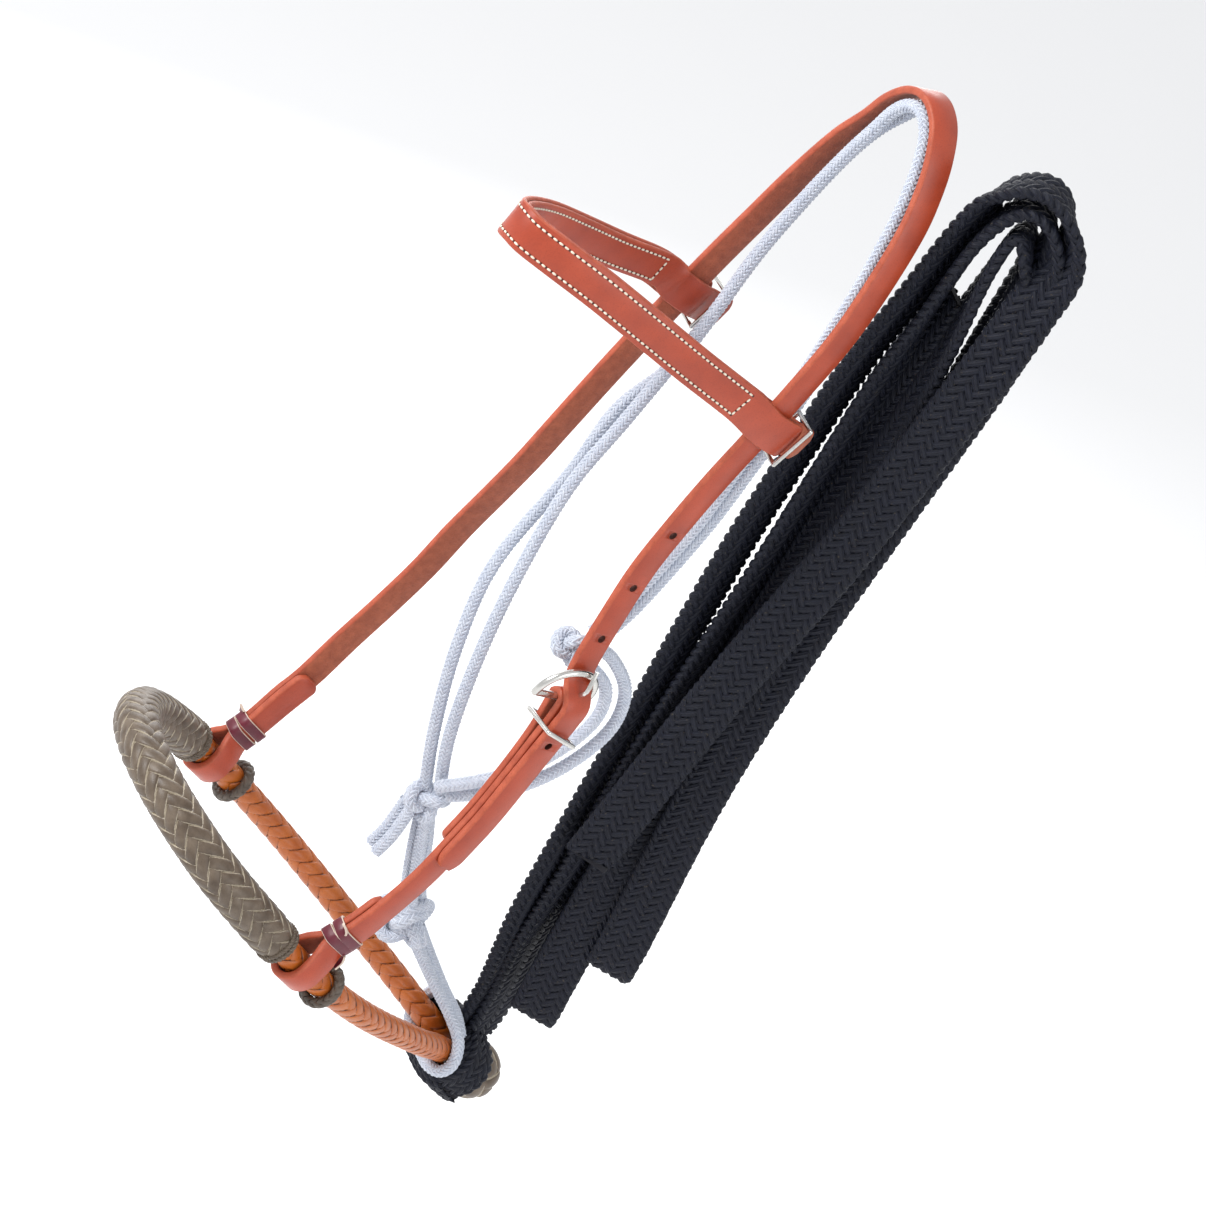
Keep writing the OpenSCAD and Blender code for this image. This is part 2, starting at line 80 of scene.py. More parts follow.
BOSAL_AT = (2, -243, -464)
BOSAL_TURN = (-36, -1.3, -1.8)
BUTTON_V, RING_V, WRAP_V, HEEL_V = 94, 138, 339, 365
BOSAL_HALF = [
    (0, 0), (20, 3.5), (38, 13), (56, 30), (67, 50), (74, 75), (79, 100), (80, 120),
    (77, 150), (69, 185), (57, 220), (43, 255), (29, 288), (17, 312), (11, 330), (9.5, 352),
]
STRAP_W, STRAP_T, BROW_W, BROW_T, HOLE_D = 16, 4, 21, 2.6, 4.4
# how the straps turn out with their distance to the side, and the height where that fades
STRAP_YAW, LOOP_DROP, YAW_FADE = 0.0015, 530, 60
# offsets of doubled and of tripled leather from the strap's middle line
LAYER = STRAP_T / 2 + 0.15
BILLET = LAYER + STRAP_T + 0.3
SHANK_D, NOSE_D, HEEL_D, ROPE_D = 15.4, 25, 36, 6.6
NEAR_LOW = [
    (54, -36, -176), (54.5, -45, -206), (55.5, -53, -236), (57, -60, -266), (60.5, -65, -296),
    (65, -69.5, -322), (67.5, -71, -333), (69.8, -72.5, -344), (71.5, -74.5, -355),
    (73, -77, -366), (75.5, -83, -390), (79, -92, -418), (82.5, -102, -440), (85, -111, -460),
    (87, -123, -481), (87.6, -133, -498),
]
NEAR_LOOP, FAR_LOOP = (86.4, -155, -528), (-73.5, -150, -532)
CROWN = [
    (-54, -36, -176), (-53, -27, -146), (-51, -18, -116), (-47, -11, -86), (-40, -4, -54),
    (-32, 0, -34), (-25, 1, -18), (-14, 2, -5), (0, 2, 0), (14, 2, -5), (25, 1, -18),
    (32, 0, -34), (40, -4, -54), (47, -11, -86), (51, -18, -116), (53, -27, -146),
]
FAR_LOW = [
    (-75, -131, -506), (-76, -121, -488), (-76, -112, -472), (-76.5, -101, -446),
    (-75.5, -90, -416), (-74, -81, -386), (-72, -74, -356), (-66.5, -69, -326),
    (-60.5, -65, -296), (-57, -60, -266), (-55.5, -53, -236), (-54.5, -45, -206),
]
# middles of the adjusting holes, and the way each one is punched
HOLES = [
    ((55.8, -54.3, -242), (1, 0, 0)), ((58.2, -61.7, -276.5), (1, 0, 0)),
    ((62.6, -67, -308), (1, 0.1, -0.1)), ((79, -77.6, -367.5), (1, 0, 0)),
]
# low and high end of each tie lace
NEAR_LACE = ((87.1, -142.1, -510.4), (87.4, -135.6, -501.6))
FAR_LACE = ((-74.4, -138.5, -516.3), (-74.9, -132, -507.4))
BAR_AT = (70, -77, -344)
BAR_TURN = (-10, -11, 5)
BROW = [
    (57.8, -18, -175), (58.4, -36, -168), (57.4, -57, -156), (51, -90, -142), (44, -120, -129),
    (34, -150, -117), (22, -173, -110), (10, -187, -107), (0, -190, -107), (-10, -187, -110),
    (-22, -173, -116), (-34, -150, -125), (-44, -120, -137), (-51, -90, -148),
    (-57.4, -57, -159), (-58.4, -36, -169), (-57.8, -18, -175),
]
THROAT = [
    (8, -74, -468), (3, -84, -430), (-5, -91, -380), (-16, -87, -330), (-26, -64, -275),
    (-34, -51, -236), (-37, -31, -207), (-40, -21, -174), (-42, -13.5, -134), (-39.4, -6.1, -94),
    (-33.3, -1.6, -60), (-26.3, 1.5, -38), (-17, 4, -21), (-10, 4.5, -11.5), (0, 4.5, -7.5),
    (10, 4.5, -11.5), (17, 4, -21), (24, 2.5, -36), (30, 0, -58), (36, -4, -92), (39, -8, -122),
    (40.5, -11, -150), (41.5, -14, -178), (44, -20, -207), (47, -27, -237), (49, -36, -268),
    (51, -46.5, -298), (52, -57, -318.5),
]
THROAT_BACK = [
    (15, -68, -468), (12, -79, -430), (7, -84, -380), (-2, -81, -330), (-14, -70, -275),
    (-24, -51, -236), (-31.5, -36, -203), (-34.8, -25.6, -170), (-36.4, -18.2, -130),
    (-33.7, -11.5, -90), (-27.2, -7.1, -56), (-20.7, -5, -34), (-17, -3.5, -21), (-10, -3, -11.5),
    (0, -3, -7.5), (10, -3, -11.5), (17, -3.5, -21), (24, -5, -36), (31, -8, -58),
    (38, -13, -92), (41, -17, -122), (41.5, -19, -150), (41, -22, -178), (44, -28, -207),
    (48, -35, -237), (50, -44, -268), (52, -55.5, -297), (53, -65, -313.5),
]
BIGHT = [
    (22, -68, -462), (34, -60, -448), (47, -46, -427), (51, -29, -404), (51, -18, -379),
    (51, -23, -353), (51, -42, -332), (52, -60, -323),
]
BIGHT_INNER = [
    (22, -78, -456), (33, -68, -441), (45, -54, -420), (49, -39, -398), (49, -29, -376),
    (49, -34, -354), (47, -52, -340), (50, -65, -332),
]
TAIL = [(6, -76, -484), (6, -77, -496), (6, -79, -508), (5, -82, -519)]
# half the distance between the two ropes of a pair
PAIR = 3.6
LOWER_KNOT, UPPER_KNOT, TIE_KNOT = (9, -40, -566), (11, -71, -476), (54, -72, -325)
STRAND_A = [
    (13, 37, -647), (15, 35.5, -634), (17, 34, -618), (19, 32, -600), (23, 25, -570),
    (26, 19, -540), (28, 16, -500), (28, 15, -440), (28, 15, -380), (28, 14, -320),
    (28, 14, -260), (29, 16, -200), (31, 18, -140), (35, 23, -90), (39, 29, -36),
]
STRAND_B = [
    (17, 42, -650), (18, 43, -634), (19, 42, -618), (20, 41, -605), (22, 37, -580),
    (27, 32, -550), (32, 29, -500), (33, 27, -440), (35, 27, -380), (37, 28, -320),
    (38, 30, -260), (39, 31, -200), (40, 32, -140),
]
HANK_AT = (50, 40, 0)
HANK_TURN = math.radians(49)
EDGE_ON = 121
# runs in the hank: across, up, toward the front, and the turn of the rein's flat side
FRONT_RUNS = [
    (-11, -20, -2, 100), (-2, -9, 0, 95), (9, -5, 1, 90), (20, -9, 2, 80), (29, -20, 4, 60),
    (33, -36, 7, 35), (31, -56, 11, 15), (29, -86, 14, 4), (25, -124, 17, 0), (20, -174, 17, 0),
    (14, -230, 17, 0), (5, -290, 17, 0), (-3, -345, 17, 0), (-9, -398, 17, 0),
    (-14, -443, 17, 0), (-18, -476, 17, 0),
]
BACK_RUNS = [
    (-12, -100, -2, 100), (-10, -60, 0, 95), (-6, -36, 0, 92), (2, -20, 0, 90),
    (11, -17, 0, 85), (20, -24, 1, 70), (26, -42, 3, 40), (29, -68, 5, 15), (29, -108, 6, 0),
    (26, -160, 6, 0), (23, -210, 6, 0), (19, -280, 6, 0), (17, -345, 6, 0), (17, -400, 6, 0),
    (19, -450, 6, 0), (23, -510, 6, 0), (24, -533, 5.5, 0), (24, -541, 3.5, 0),
    (24, -543.5, 0.5, 0), (24, -541, -2.5, 0), (24, -533, -4.5, 0), (23, -510, -5, 0),
    (19, -450, -5, 0), (17, -400, -5, 0), (17, -345, -5, 0), (19, -280, -5, 0),
    (23, -210, -5, 0), (26, -160, -5, 0), (26, -110, -5, 8), (24, -76, -4, 35),
    (19, -52, -2, 70), (14, -38, 0, 90), (9, -32, 0, 95), (5, -38, 0, 95), (4, -60, 0, 90),
    (4, -100, 0, 70), (3, -150, 0, 50), (2, -220, 0, 34), (1, -300, 0, 22),
    (0, -360, 0, 12), (-1, -430, 0, 5), (-1, -500, 0, 2), (0, -565, 0, 0),
    (1, -589, -0.5, 0), (1, -598, -2.5, 0), (1, -600.5, -5.5, 0), (1, -598, -8.5, 0),
    (1, -589, -10.5, 0), (0, -565, -11, 0), (-2, -500, -11, 2), (-4, -430, -11, 8),
    (-8, -360, -11, 14), (-10, -300, -11, 20), (-10, -220, -11, 30), (-9, -150, -11, 40),
    (-7, -100, -11, 50), (-6, -84, -11, 55),
]


# ---------------------------------------------------------------- geometry helpers

def turned(degrees):
    """The matrix of a turn about X, then Y, then Z."""
    x, y, z = (math.radians(a) for a in degrees)
    about_x = np.array([[1, 0, 0], [0, math.cos(x), -math.sin(x)], [0, math.sin(x), math.cos(x)]])
    about_y = np.array([[math.cos(y), 0, math.sin(y)], [0, 1, 0], [-math.sin(y), 0, math.cos(y)]])
    about_z = np.array([[math.cos(z), -math.sin(z), 0], [math.sin(z), math.cos(z), 0], [0, 0, 1]])
    return about_z @ about_y @ about_x


BOSAL = turned(BOSAL_TURN)
BAR = turned(BAR_TURN)
ACROSS = np.array([math.cos(HANK_TURN), math.sin(HANK_TURN), 0])
FRONT = np.array([math.sin(HANK_TURN), -math.cos(HANK_TURN), 0])


def on_bosal(points):
    return np.array(points, float) @ BOSAL.T + BOSAL_AT


def on_bar(points):
    return np.array(points, float) @ BAR.T + BAR_AT


def unit(v):
    return v / np.maximum(np.linalg.norm(v, axis=-1, keepdims=True), 1e-9)


def smooth(rows, steps):
    """A smooth route through every row, with so many steps to each span."""
    p = np.array(rows, float)
    out = []
    for i in range(len(p) - 1):
        a, b, c, d = p[max(i - 1, 0)], p[i], p[i + 1], p[min(i + 2, len(p) - 1)]
        for t in np.arange(steps) / steps:
            out.append(0.5 * (2 * b + (c - a) * t + (2 * a - 5 * b + 4 * c - d) * t**2
                              + (3 * b - a - 3 * c + d) * t**3))
    out.append(p[-1])
    return np.array(out)


class Track:
    """A route in mm with a side and a normal axis at every point, read by distance along it."""

    def __init__(self, points, sides=(0.2, 1, 0.1)):
        self.at = np.array(points, float)
        steps = np.linalg.norm(np.diff(self.at, axis=0), axis=1)
        self.s = np.concatenate([[0], np.cumsum(steps)])
        self.length = float(self.s[-1])
        ahead = unit(np.gradient(self.at, self.s, axis=0))
        sides = np.array(sides, float)
        if sides.ndim == 1:
            side = [sides]
            for t in ahead:
                last = side[-1] - (side[-1] @ t) * t
                side.append(last / np.linalg.norm(last))
            sides = np.array(side[1:])
        self.side = unit(sides - (sides * ahead).sum(1, keepdims=True) * ahead)
        self.normal = np.cross(ahead, self.side)

    def _read(self, values, s):
        return np.stack([np.interp(s, self.s, values[:, k]) for k in range(3)], axis=-1)

    def place(self, s, across, up):
        """Points at distance s, moved along the side and the normal."""
        across, up = np.asarray(across)[..., None], np.asarray(up)[..., None]
        return (self._read(self.at, s) + across * self._read(self.side, s)
                + up * self._read(self.normal, s))


class Outline:
    """A closed section that strands are laid on, read by distance around it."""

    def __init__(self, points):
        p = np.array(points, float)
        ring = np.vstack([p, p[:1]])
        steps = np.linalg.norm(np.diff(ring, axis=0), axis=1)
        self.w = np.concatenate([[0], np.cumsum(steps)])
        self.length = float(self.w[-1])
        self.ring = ring
        before, after = np.roll(p, 1, axis=0), np.roll(p, -1, axis=0)
        d = unit(after - before)
        out = np.stack([d[:, 1], -d[:, 0]], axis=1)
        self.out = np.vstack([out, out[:1]])

    def at(self, w):
        w = np.mod(w, self.length)
        return [np.interp(w, self.w, a[:, k]) for a in (self.ring, self.out) for k in (0, 1)]


def circle(r, n=48):
    a = np.arange(n) * 2 * math.pi / n
    return np.stack([r * np.cos(a), r * np.sin(a)], axis=1)


def flat_oval(w, t, n=10):
    """A flat section with round edges."""
    r = t / 2
    a = np.linspace(-math.pi / 2, math.pi / 2, n)
    right = np.stack([w / 2 - r + r * np.cos(a), r * np.sin(a)], axis=1)
    return np.vstack([right, -right])


class Parts:
    """Collects the vertices, faces, tags and UVs of one mesh."""

    def __init__(self):
        self.verts, self.faces, self.tags, self.uvs = [], [], [], []
        self.count = 0

    def grid(self, points, tags=None, wrap=False, u=None, v=None):
        """A sheet of quads over an array of rings of points."""
        n, m = points.shape[:2]
        index = np.arange(n * m).reshape(n, m) + self.count
        cols = m if wrap else m - 1
        a = index[:-1, :cols]
        b = index[1:, :cols]
        nxt = (np.arange(cols) + 1) % m
        faces = np.stack([a, index[:-1][:, nxt], index[1:][:, nxt], b], axis=-1)
        self.verts.append(points.reshape(-1, 3))
        self.faces.extend(faces.reshape(-1, 4).tolist())
        tag = np.zeros(cols, int) if tags is None else np.array(tags)
        self.tags.extend(np.tile(tag, n - 1).tolist())
        u = np.linspace(0, 1, cols + 1) if u is None else np.array(u)
        v = np.arange(n, dtype=float) if v is None else v
        u0, u1 = np.tile(u[:-1], (n - 1, 1)), np.tile(u[1:], (n - 1, 1))
        v0, v1 = np.tile(v[:-1, None], (1, cols)), np.tile(v[1:, None], (1, cols))
        corner = np.stack([u0, v0, u1, v0, u1, v1, u0, v1], axis=-1)
        self.uvs.append(corner.reshape(-1, 2))
        self.count += n * m

    def cap(self, ring, tag=0, flip=False):
        """A fan that closes a ring of points."""
        n = len(ring)
        self.verts.append(np.vstack([ring, ring.mean(0)]))
        for i in range(n):
            j = (i + 1) % n
            pair = (j, i) if flip else (i, j)
            self.faces.append([self.count + pair[0], self.count + pair[1], self.count + n])
            self.tags.append(tag)
            self.uvs.append(np.full((3, 2), 0.5))
        self.count += n + 1

    def build(self, name, materials, shade=True):
        mesh = bpy.data.meshes.new(name)
        verts = np.vstack(self.verts) * MM
        mesh.from_pydata(verts.tolist(), [], self.faces)
        mesh.uv_layers.new(name="strand").data.foreach_set("uv", np.vstack(self.uvs).ravel())
        for m in materials:
            mesh.materials.append(m)
        mesh.polygons.foreach_set("material_index", self.tags)
        mesh.polygons.foreach_set("use_smooth", [shade] * len(self.faces))
        mesh.update()
        piece = bpy.data.objects.new(name, mesh)
        bpy.context.scene.collection.objects.link(piece)
        return piece


def tube(parts, track, outline, step=2.5, scale=None, tag=0):
    """A closed skin of the outline along the whole track."""
    s = np.linspace(0, track.length, max(2, int(track.length / step)))
    k = np.ones(len(s)) if scale is None else scale(s)
    ring = outline.ring[:-1]
    points = track.place(s[:, None], k[:, None] * ring[None, :, 0], k[:, None] * ring[None, :, 1])
    parts.grid(points, tags=[tag] * len(ring), wrap=True, v=s)
    parts.cap(points[0], tag, flip=True)
    parts.cap(points[-1], tag)


DOMED = [(-0.5, -0.5), (-0.5, 0.05), (-0.27, 0.42), (0, 0.5), (0.27, 0.42), (0.5, 0.05), (0.5, -0.5)]
ROUND = [(-0.5, -0.3), (-0.3, 0.3), (0, 0.5), (0.3, 0.3), (0.5, -0.3)]


def braid(parts, track, outline, count, angle, thick, step, profile=DOMED, fill=0.96,
          lift=0.5, span=None, scale=None, slant=0, tag=0):
    """Two families of strands that cross at an angle, each over two and under two."""
    start, end = span or (0, track.length)
    rise = math.tan(math.radians(angle))
    width = outline.length / count * math.cos(math.radians(angle)) * fill
    s = np.linspace(start, end, max(4, int((end - start) / step)))
    crossed = 2 * count * rise * (s - start) / outline.length
    shape = np.array(profile)
    for sign in (1, -1):
        for i in range(count):
            phase = 2 * i + sign * crossed - (0.5 if sign > 0 else 2.5)
            wave = np.tanh(1.6 * np.cos(math.pi * phase / 2))
            w = i / count * outline.length + sign * rise * (s - start)
            u = shape[None, :, 0] * width
            s2 = s[:, None] - sign * math.sin(math.radians(angle)) * u
            w2 = w[:, None] + math.cos(math.radians(angle)) * u
            x, y, nx, ny = outline.at(w2)
            s2 = np.clip(s2, start, end - slant * (x / outline.ring[:, 0].max() + 1))
            k = 1 if scale is None else scale(s2)
            out = thick * (lift * wave[:, None] + shape[None, :, 1])
            points = track.place(s2, k * x + out * nx, k * y + out * ny)
            along = (s - start) / math.cos(math.radians(angle)) + 37.0 * (i + 20 * (sign > 0))
            parts.grid(points[:, ::-1], tags=[tag] * (len(profile) - 1),
                       u=shape[::-1, 0] + 0.5, v=along * 0.1)


def ellipsoid(parts, centre, axes, tag=0, rings=5, sides=8):
    """A small closed bead, stretched along its first axis."""
    a = np.linspace(0.12, math.pi - 0.12, rings)
    b = np.arange(sides) * 2 * math.pi / sides
    rows = (np.cos(a)[:, None, None] * axes[0] + np.sin(a)[:, None, None]
            * (np.cos(b)[None, :, None] * axes[1] + np.sin(b)[None, :, None] * axes[2]))
    points = centre + rows
    parts.grid(points[:, ::-1], tags=[tag] * sides, wrap=True)
    parts.cap(points[0], tag)
    parts.cap(points[-1], tag, flip=True)


# ---------------------------------------------------------------- materials

def material(name, colors, mottle=60, grain=1500, bump=0.2, rough=0.5, edge=None, edge_at=0.36,
             ribs=0, metallic=0.0, sheen=0.0, painted_glints=None, coat=0.0, bump_size=0.0004, pit_shade=0.35, gloss=0.5):
    """Mottled colour and fine grain; edge tints each strand's sides, ribs run along it."""
    m = bpy.data.materials.new(name)
    m.use_nodes = True
    nodes, links = m.node_tree.nodes, m.node_tree.links
    shader = nodes["Principled BSDF"]
    shader.inputs["Metallic"].default_value = metallic
    shader.inputs["Specular IOR Level"].default_value = gloss
    shader.inputs["Coat Weight"].default_value = coat
    shader.inputs["Coat Roughness"].default_value = 0.35
    shader.inputs["Sheen Weight"].default_value = sheen
    place = nodes.new("ShaderNodeTexCoord")

    def noise(scale, detail, source="Object"):
        n = nodes.new("ShaderNodeTexNoise")
        n.inputs["Scale"].default_value = scale
        n.inputs["Detail"].default_value = detail
        links.new(place.outputs[source], n.inputs["Vector"])
        return n.outputs["Fac"]

    def ramp(source, low, high, a, b):
        r = nodes.new("ShaderNodeValToRGB")
        r.color_ramp.elements[0].position = low
        r.color_ramp.elements[1].position = high
        r.color_ramp.elements[0].color = (*a, 1)
        r.color_ramp.elements[1].color = (*b, 1)
        links.new(source, r.inputs["Fac"])
        return r.outputs["Color"]

    def mix(factor, a, b):
        n = nodes.new("ShaderNodeMix")
        n.data_type = "RGBA"
        links.new(factor, n.inputs["Factor"])
        for value, socket in ((a, n.inputs["A"]), (b, n.inputs["B"])):
            if isinstance(value, tuple):
                socket.default_value = (*value, 1)
            else:
                links.new(value, socket)
        return n.outputs["Result"]

    def maths(kind, a, b):
        n = nodes.new("ShaderNodeMath")
        n.operation = kind
        for value, socket in ((a, n.inputs[0]), (b, n.inputs[1])):
            if isinstance(value, (int, float)):
                socket.default_value = value
            else:
                links.new(value, socket)
        return n.outputs[0]

    color = ramp(noise(mottle, 4), 0.3, 0.7, *colors)
    fine = noise(grain, 3)
    # painted shade: the low spots of the fine grain bump are darkened
    color = mix(ramp(fine, 0.25, 0.5, (pit_shade,) * 3, (0,) * 3), color, tuple(c * 0.45 for c in colors[0]))
    height = fine
    if edge or ribs:
        split = nodes.new("ShaderNodeSeparateXYZ")
        links.new(place.outputs["UV"], split.inputs["Vector"])
        aside = maths("ABSOLUTE", maths("SUBTRACT", split.outputs["X"], 0.5), 0)
    if edge:
        ragged = maths("ADD", aside, maths("MULTIPLY", maths("SUBTRACT", noise(900, 2), 0.5), 0.12))
        color = mix(ramp(ragged, edge_at, edge_at + 0.05, (0,) * 3, (1,) * 3), color, edge)
    if ribs:
        wave = maths("SINE", maths("MULTIPLY", split.outputs["X"], 2 * math.pi * ribs), 0)
        height = maths("ADD", maths("MULTIPLY", wave, 0.5), fine)
        # painted shade: the grooves between the ribs are darkened
        color = mix(ramp(wave, 0.1, 1.0, (0.5,) * 3, (0,) * 3), color, tuple(c * 0.5 for c in colors[0]))
    # painted highlight: small tan glints mixed into the colour at random spots
    if painted_glints:
        color = mix(ramp(noise(700, 1), 0.68, 0.76, (0,) * 3, (0.5,) * 3), color, painted_glints)
    links.new(color, shader.inputs["Base Color"])
    spread = ramp(noise(mottle * 3, 3), 0.2, 0.8, (rough - 0.08,) * 3, (rough + 0.1,) * 3)
    links.new(spread, shader.inputs["Roughness"])
    relief = nodes.new("ShaderNodeBump")
    relief.inputs["Strength"].default_value = bump
    relief.inputs["Distance"].default_value = bump_size
    links.new(height, relief.inputs["Height"])
    links.new(relief.outputs["Normal"], shader.inputs["Normal"])
    return m


CREAM = (0.42, 0.36, 0.27)
GRAIN = material("leather_grain", ((0.33, 0.040, 0.013), (0.45, 0.060, 0.019)), mottle=45,
                 bump=0.12, rough=0.36, coat=0.15)
EDGE = material("leather_edge", ((0.36, 0.060, 0.024), (0.48, 0.095, 0.042)), mottle=160,
                grain=1100, bump=0.4, rough=0.55)
FLESH = material("leather_flesh", ((0.29, 0.062, 0.024), (0.41, 0.100, 0.042)), mottle=220,
                 grain=900, bump=0.7, rough=0.75, sheen=0.2)
# painted shade: the walls of the holes and the stitch pricks are painted dark
HOLE_SHADE = material("leather_hole", ((0.06, 0.012, 0.006), (0.10, 0.02, 0.01)), rough=0.7)
LATIGO = material("latigo", ((0.085, 0.006, 0.016), (0.15, 0.012, 0.028)), mottle=80,
                  bump=0.15, rough=0.38)
LATIGO_CUT = material("latigo_cut", ((0.55, 0.42, 0.34), (0.70, 0.60, 0.50)), rough=0.7)
RAWHIDE = material("rawhide", ((0.070, 0.046, 0.028), (0.15, 0.112, 0.078)), mottle=130,
                   grain=1300, bump=0.35, rough=0.42, edge=CREAM, edge_at=0.42)
RAWHIDE_DARK = material("rawhide_dark", ((0.05, 0.036, 0.026), (0.13, 0.10, 0.075)), mottle=150,
                        bump=0.3, rough=0.45)
# The shank strands' dark sides are painted shade where the strands meet.
SHANK = material("shank_strand", ((0.40, 0.088, 0.009), (0.50, 0.130, 0.018)), mottle=90,
                 bump=0.15, rough=0.33, edge=(0.10, 0.022, 0.006), edge_at=0.445, coat=0.05)
# painted shade: a near-black core under the shank braid, seen in the gaps between strands
STRAND_GAP_SHADE = material("dark_core", ((0.05, 0.015, 0.006), (0.08, 0.03, 0.012)), rough=0.7)
ROPE = material("white_yarn", ((0.56, 0.61, 0.72), (0.74, 0.78, 0.86)), mottle=300, grain=2600,
                bump=0.35, rough=0.72, ribs=2, sheen=0.15, bump_size=0.0002)
YARN = material("black_yarn", ((0.0030, 0.0042, 0.0115), (0.0075, 0.0100, 0.0230)), mottle=240,
                grain=2000, bump=0.6, rough=0.6, ribs=3, gloss=0.3, painted_glints=(0.07, 0.055, 0.035))
YARN_CORE = material("black_core", ((0.004, 0.004, 0.008), (0.007, 0.007, 0.012)), rough=0.9)
NICKEL = material("nickel", ((0.60, 0.59, 0.56), (0.74, 0.73, 0.70)), mottle=120, grain=2500,
                  bump=0.05, rough=0.2, metallic=1.0)
THREAD = material("cream_thread", ((0.72, 0.66, 0.52), (0.86, 0.81, 0.68)), mottle=700,
                  bump=0.3, rough=0.55)


# ---------------------------------------------------------------- ropes and reins

def finished(piece, body, slot, *nodes):
    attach(piece, body)
    if nodes:
        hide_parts(*nodes)
    return piece


ROPE_OUTLINE = Outline(circle(ROPE_D / 2 - 0.3, 24))


def rope_track(points, steps=5):
    return Track(smooth(points, steps))


def lay_rope(parts, track):
    """Braided cord: a plain core under two families of yarns."""
    tube(parts, track, Outline(circle(ROPE_D / 2 - 0.55, 12)), step=3)
    braid(parts, track, ROPE_OUTLINE, 8, 40, 0.9, 1.15, profile=ROUND, lift=0.42)


def rope_piece(name, routes, steps=5):
    parts = Parts()
    tracks = [rope_track(points, steps) for points in routes]
    for track in tracks:
        lay_rope(parts, track)
    return parts.build(name, [ROPE]), tracks


def metres(points):
    return [tuple(float(c) * MM for c in p) for p in points]


def rope_cord(name, route, node):
    piece, (track,) = rope_piece(name, [route])
    finished(piece, "headstall", "white_rope", node)
    return piece


REIN_W = 27
REIN_OUTLINE = Outline(flat_oval(REIN_W - 1, 4.2))


def in_hank(a, up, d):
    return np.array(HANK_AT) + a * ACROSS + d * FRONT + np.array([0, 0, up])


def rein_rows(strand, runs):
    """The strand's points and the hank's runs as one list: place, and turn of the flat side."""
    rows = [(*p, EDGE_ON) for p in strand]
    rows += [(*in_hank(*run[:3]), run[3]) for run in runs]
    return smooth(rows, 6)


def lay_rein(parts, rows, slant=0):
    turn = np.radians(rows[:, 3:4])
    track = Track(rows[:, :3], np.cos(turn) * ACROSS + np.sin(turn) * FRONT)
    tube(parts, track, Outline(flat_oval(REIN_W - 2.4, 2.8)), step=4, tag=1)
    braid(parts, track, REIN_OUTLINE, 10, 44, 1.6, 1.8, profile=ROUND, lift=0.42, slant=slant)
    return track


def rein(name, strand, runs, slant, nodes):
    parts = Parts()
    track = lay_rein(parts, rein_rows(strand, runs), slant)
    piece = parts.build(name, [YARN, YARN_CORE])
    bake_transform(piece)
    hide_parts(*nodes)
    return piece


def trefoil(size, depth, shift):
    """A closed overhand knot, in its own frame: across, up, toward the front."""
    t = np.linspace(0, 2 * math.pi, 61)
    return np.stack([size * (np.sin(t) + 2 * np.sin(2 * t)), size * (np.cos(t) - 2 * np.cos(2 * t)),
                     -depth * np.sin(3 * t) + shift], axis=1)


def knot(name, at, axis, turns, depth, body, node, spin=0.0):
    """Rope turns that cross over and under, facing the front, with their height along axis."""
    up = unit(np.array(axis, float))
    front = np.array(view_axes()[2])
    front = unit(front - (front @ up) * up)
    across = np.cross(up, front)
    c, s = math.cos(spin), math.sin(spin)
    parts = Parts()
    for size, shift in turns:
        p = trefoil(size, depth, shift)
        x, y = c * p[:, 0] - s * p[:, 1], s * p[:, 0] + c * p[:, 1]
        points = np.array(at) + x[:, None] * across + y[:, None] * up + p[:, 2:] * front
        lay_rope(parts, Track(points))
    return finished(parts.build(name, [ROPE]), body, "white_rope", node)


def heel_sling():
    """Rope from the lower knot over the near shank, under both shanks and back up."""
    half = [(3.5, 236, 33), (5, 258, 27), (7.5, 282, 21.5), (12, 301, 17.5), (20.5, 314, 12.5),
            (26.2, 321, 3), (24.5, 323, -6.5), (15, 323, -11.6)]
    route = half + [(0, 323, -12)] + [(-x, v, z) for x, v, z in reversed(half)]
    middle = [(-1, 236, 38), (1, 260, 31), (4, 286, 24), (8, 308, 19), (13, 321, 13)]
    piece, _ = rope_piece("fiador_heel_loop_rope", [on_bosal(route), on_bosal(middle)], steps=8)
    finished(piece, "bosal", "white_rope", "fiador_heel_loop")


